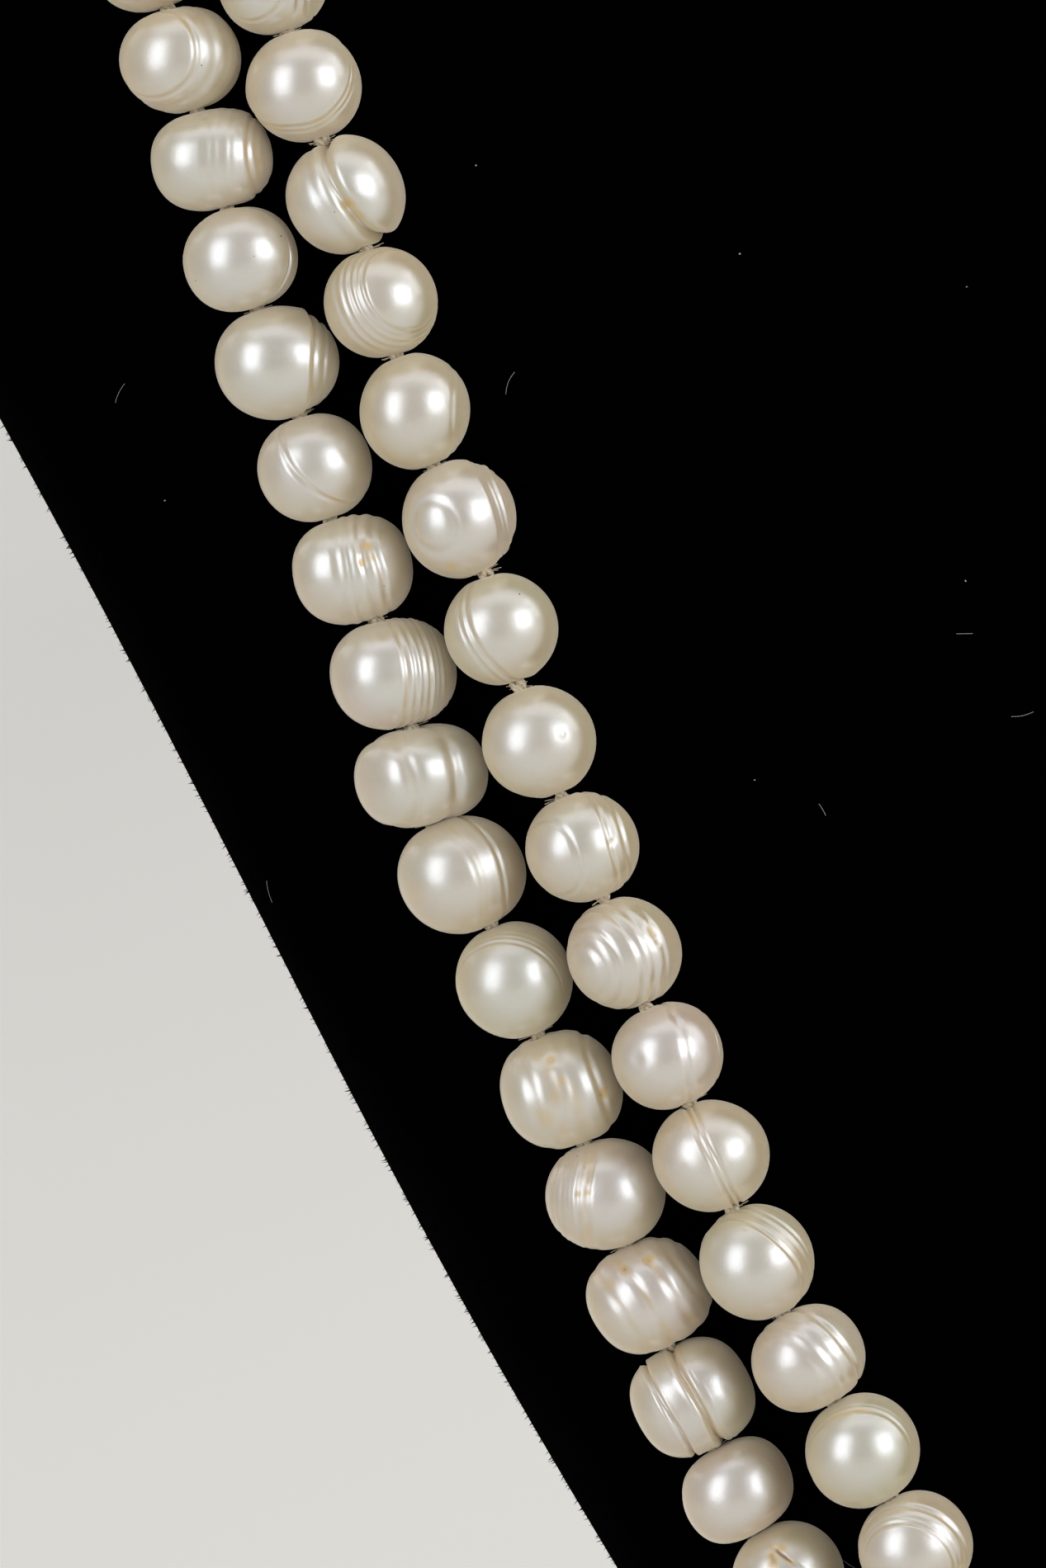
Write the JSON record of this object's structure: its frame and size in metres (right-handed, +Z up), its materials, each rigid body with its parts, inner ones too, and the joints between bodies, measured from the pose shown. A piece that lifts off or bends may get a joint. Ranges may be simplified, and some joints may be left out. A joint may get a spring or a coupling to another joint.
{
  "type": "long pearl necklace on a neck bust",
  "caption": "Long rope of cream ringed pearls knotted on silk, worn doubled and closed by a barrel clasp, on a plain black velvet neck bust with an oval foot.",
  "frame": {"origin": "middle of the sole of the bust's foot, on the surface that it stands on", "axes": "+Z up; the front of the chest faces -Y; +X to the right as seen from the front"},
  "size_m": [0.1974, 0.1429, 0.395],
  "materials": {
    "pearl": "lustrous cream nacre with growth rings",
    "thread": "twisted silk cord",
    "clasp": "polished gilt",
    "velvet": "black pile velvet"
  },
  "bodies": {
    "root": {"clasp": "clasp", "neck_bust": "velvet", "pearl_inner_01": "pearl", "pearl_inner_02": "pearl", "pearl_inner_03": "pearl", "pearl_inner_04": "pearl", "pearl_inner_05": "pearl", "pearl_inner_06": "pearl", "pearl_inner_07": "pearl", "pearl_inner_08": "pearl", "pearl_inner_09": "pearl", "pearl_inner_10": "pearl", "pearl_inner_11": "pearl", "pearl_inner_12": "pearl", "pearl_inner_13": "pearl", "pearl_inner_14": "pearl", "pearl_inner_15": "pearl", "pearl_inner_16": "pearl", "pearl_inner_17": "pearl", "pearl_inner_18": "pearl", "pearl_inner_19": "pearl", "pearl_inner_20": "pearl", "pearl_outer_01": "pearl", "pearl_outer_02": "pearl", "pearl_outer_03": "pearl", "pearl_outer_04": "pearl", "pearl_outer_05": "pearl", "pearl_outer_06": "pearl", "pearl_outer_07": "pearl", "pearl_outer_08": "pearl", "pearl_outer_09": "pearl", "pearl_outer_10": "pearl", "pearl_outer_11": "pearl", "pearl_outer_12": "pearl", "pearl_outer_13": "pearl", "pearl_outer_14": "pearl", "pearl_outer_15": "pearl", "pearl_outer_16": "pearl", "pearl_outer_17": "pearl", "pearl_outer_18": "pearl", "pearl_outer_19": "pearl", "pearl_outer_20": "pearl", "strung_pearls_01": "pearl", "strung_pearls_02": "pearl", "strung_pearls_03": "pearl", "strung_pearls_04": "pearl", "strung_pearls_05": "pearl", "strung_pearls_06": "pearl", "strung_pearls_07": "pearl", "strung_pearls_08": "pearl", "strung_pearls_09": "pearl", "strung_pearls_10": "pearl", "thread_inner": "thread", "thread_outer": "thread"}
  },
  "joints": []
}
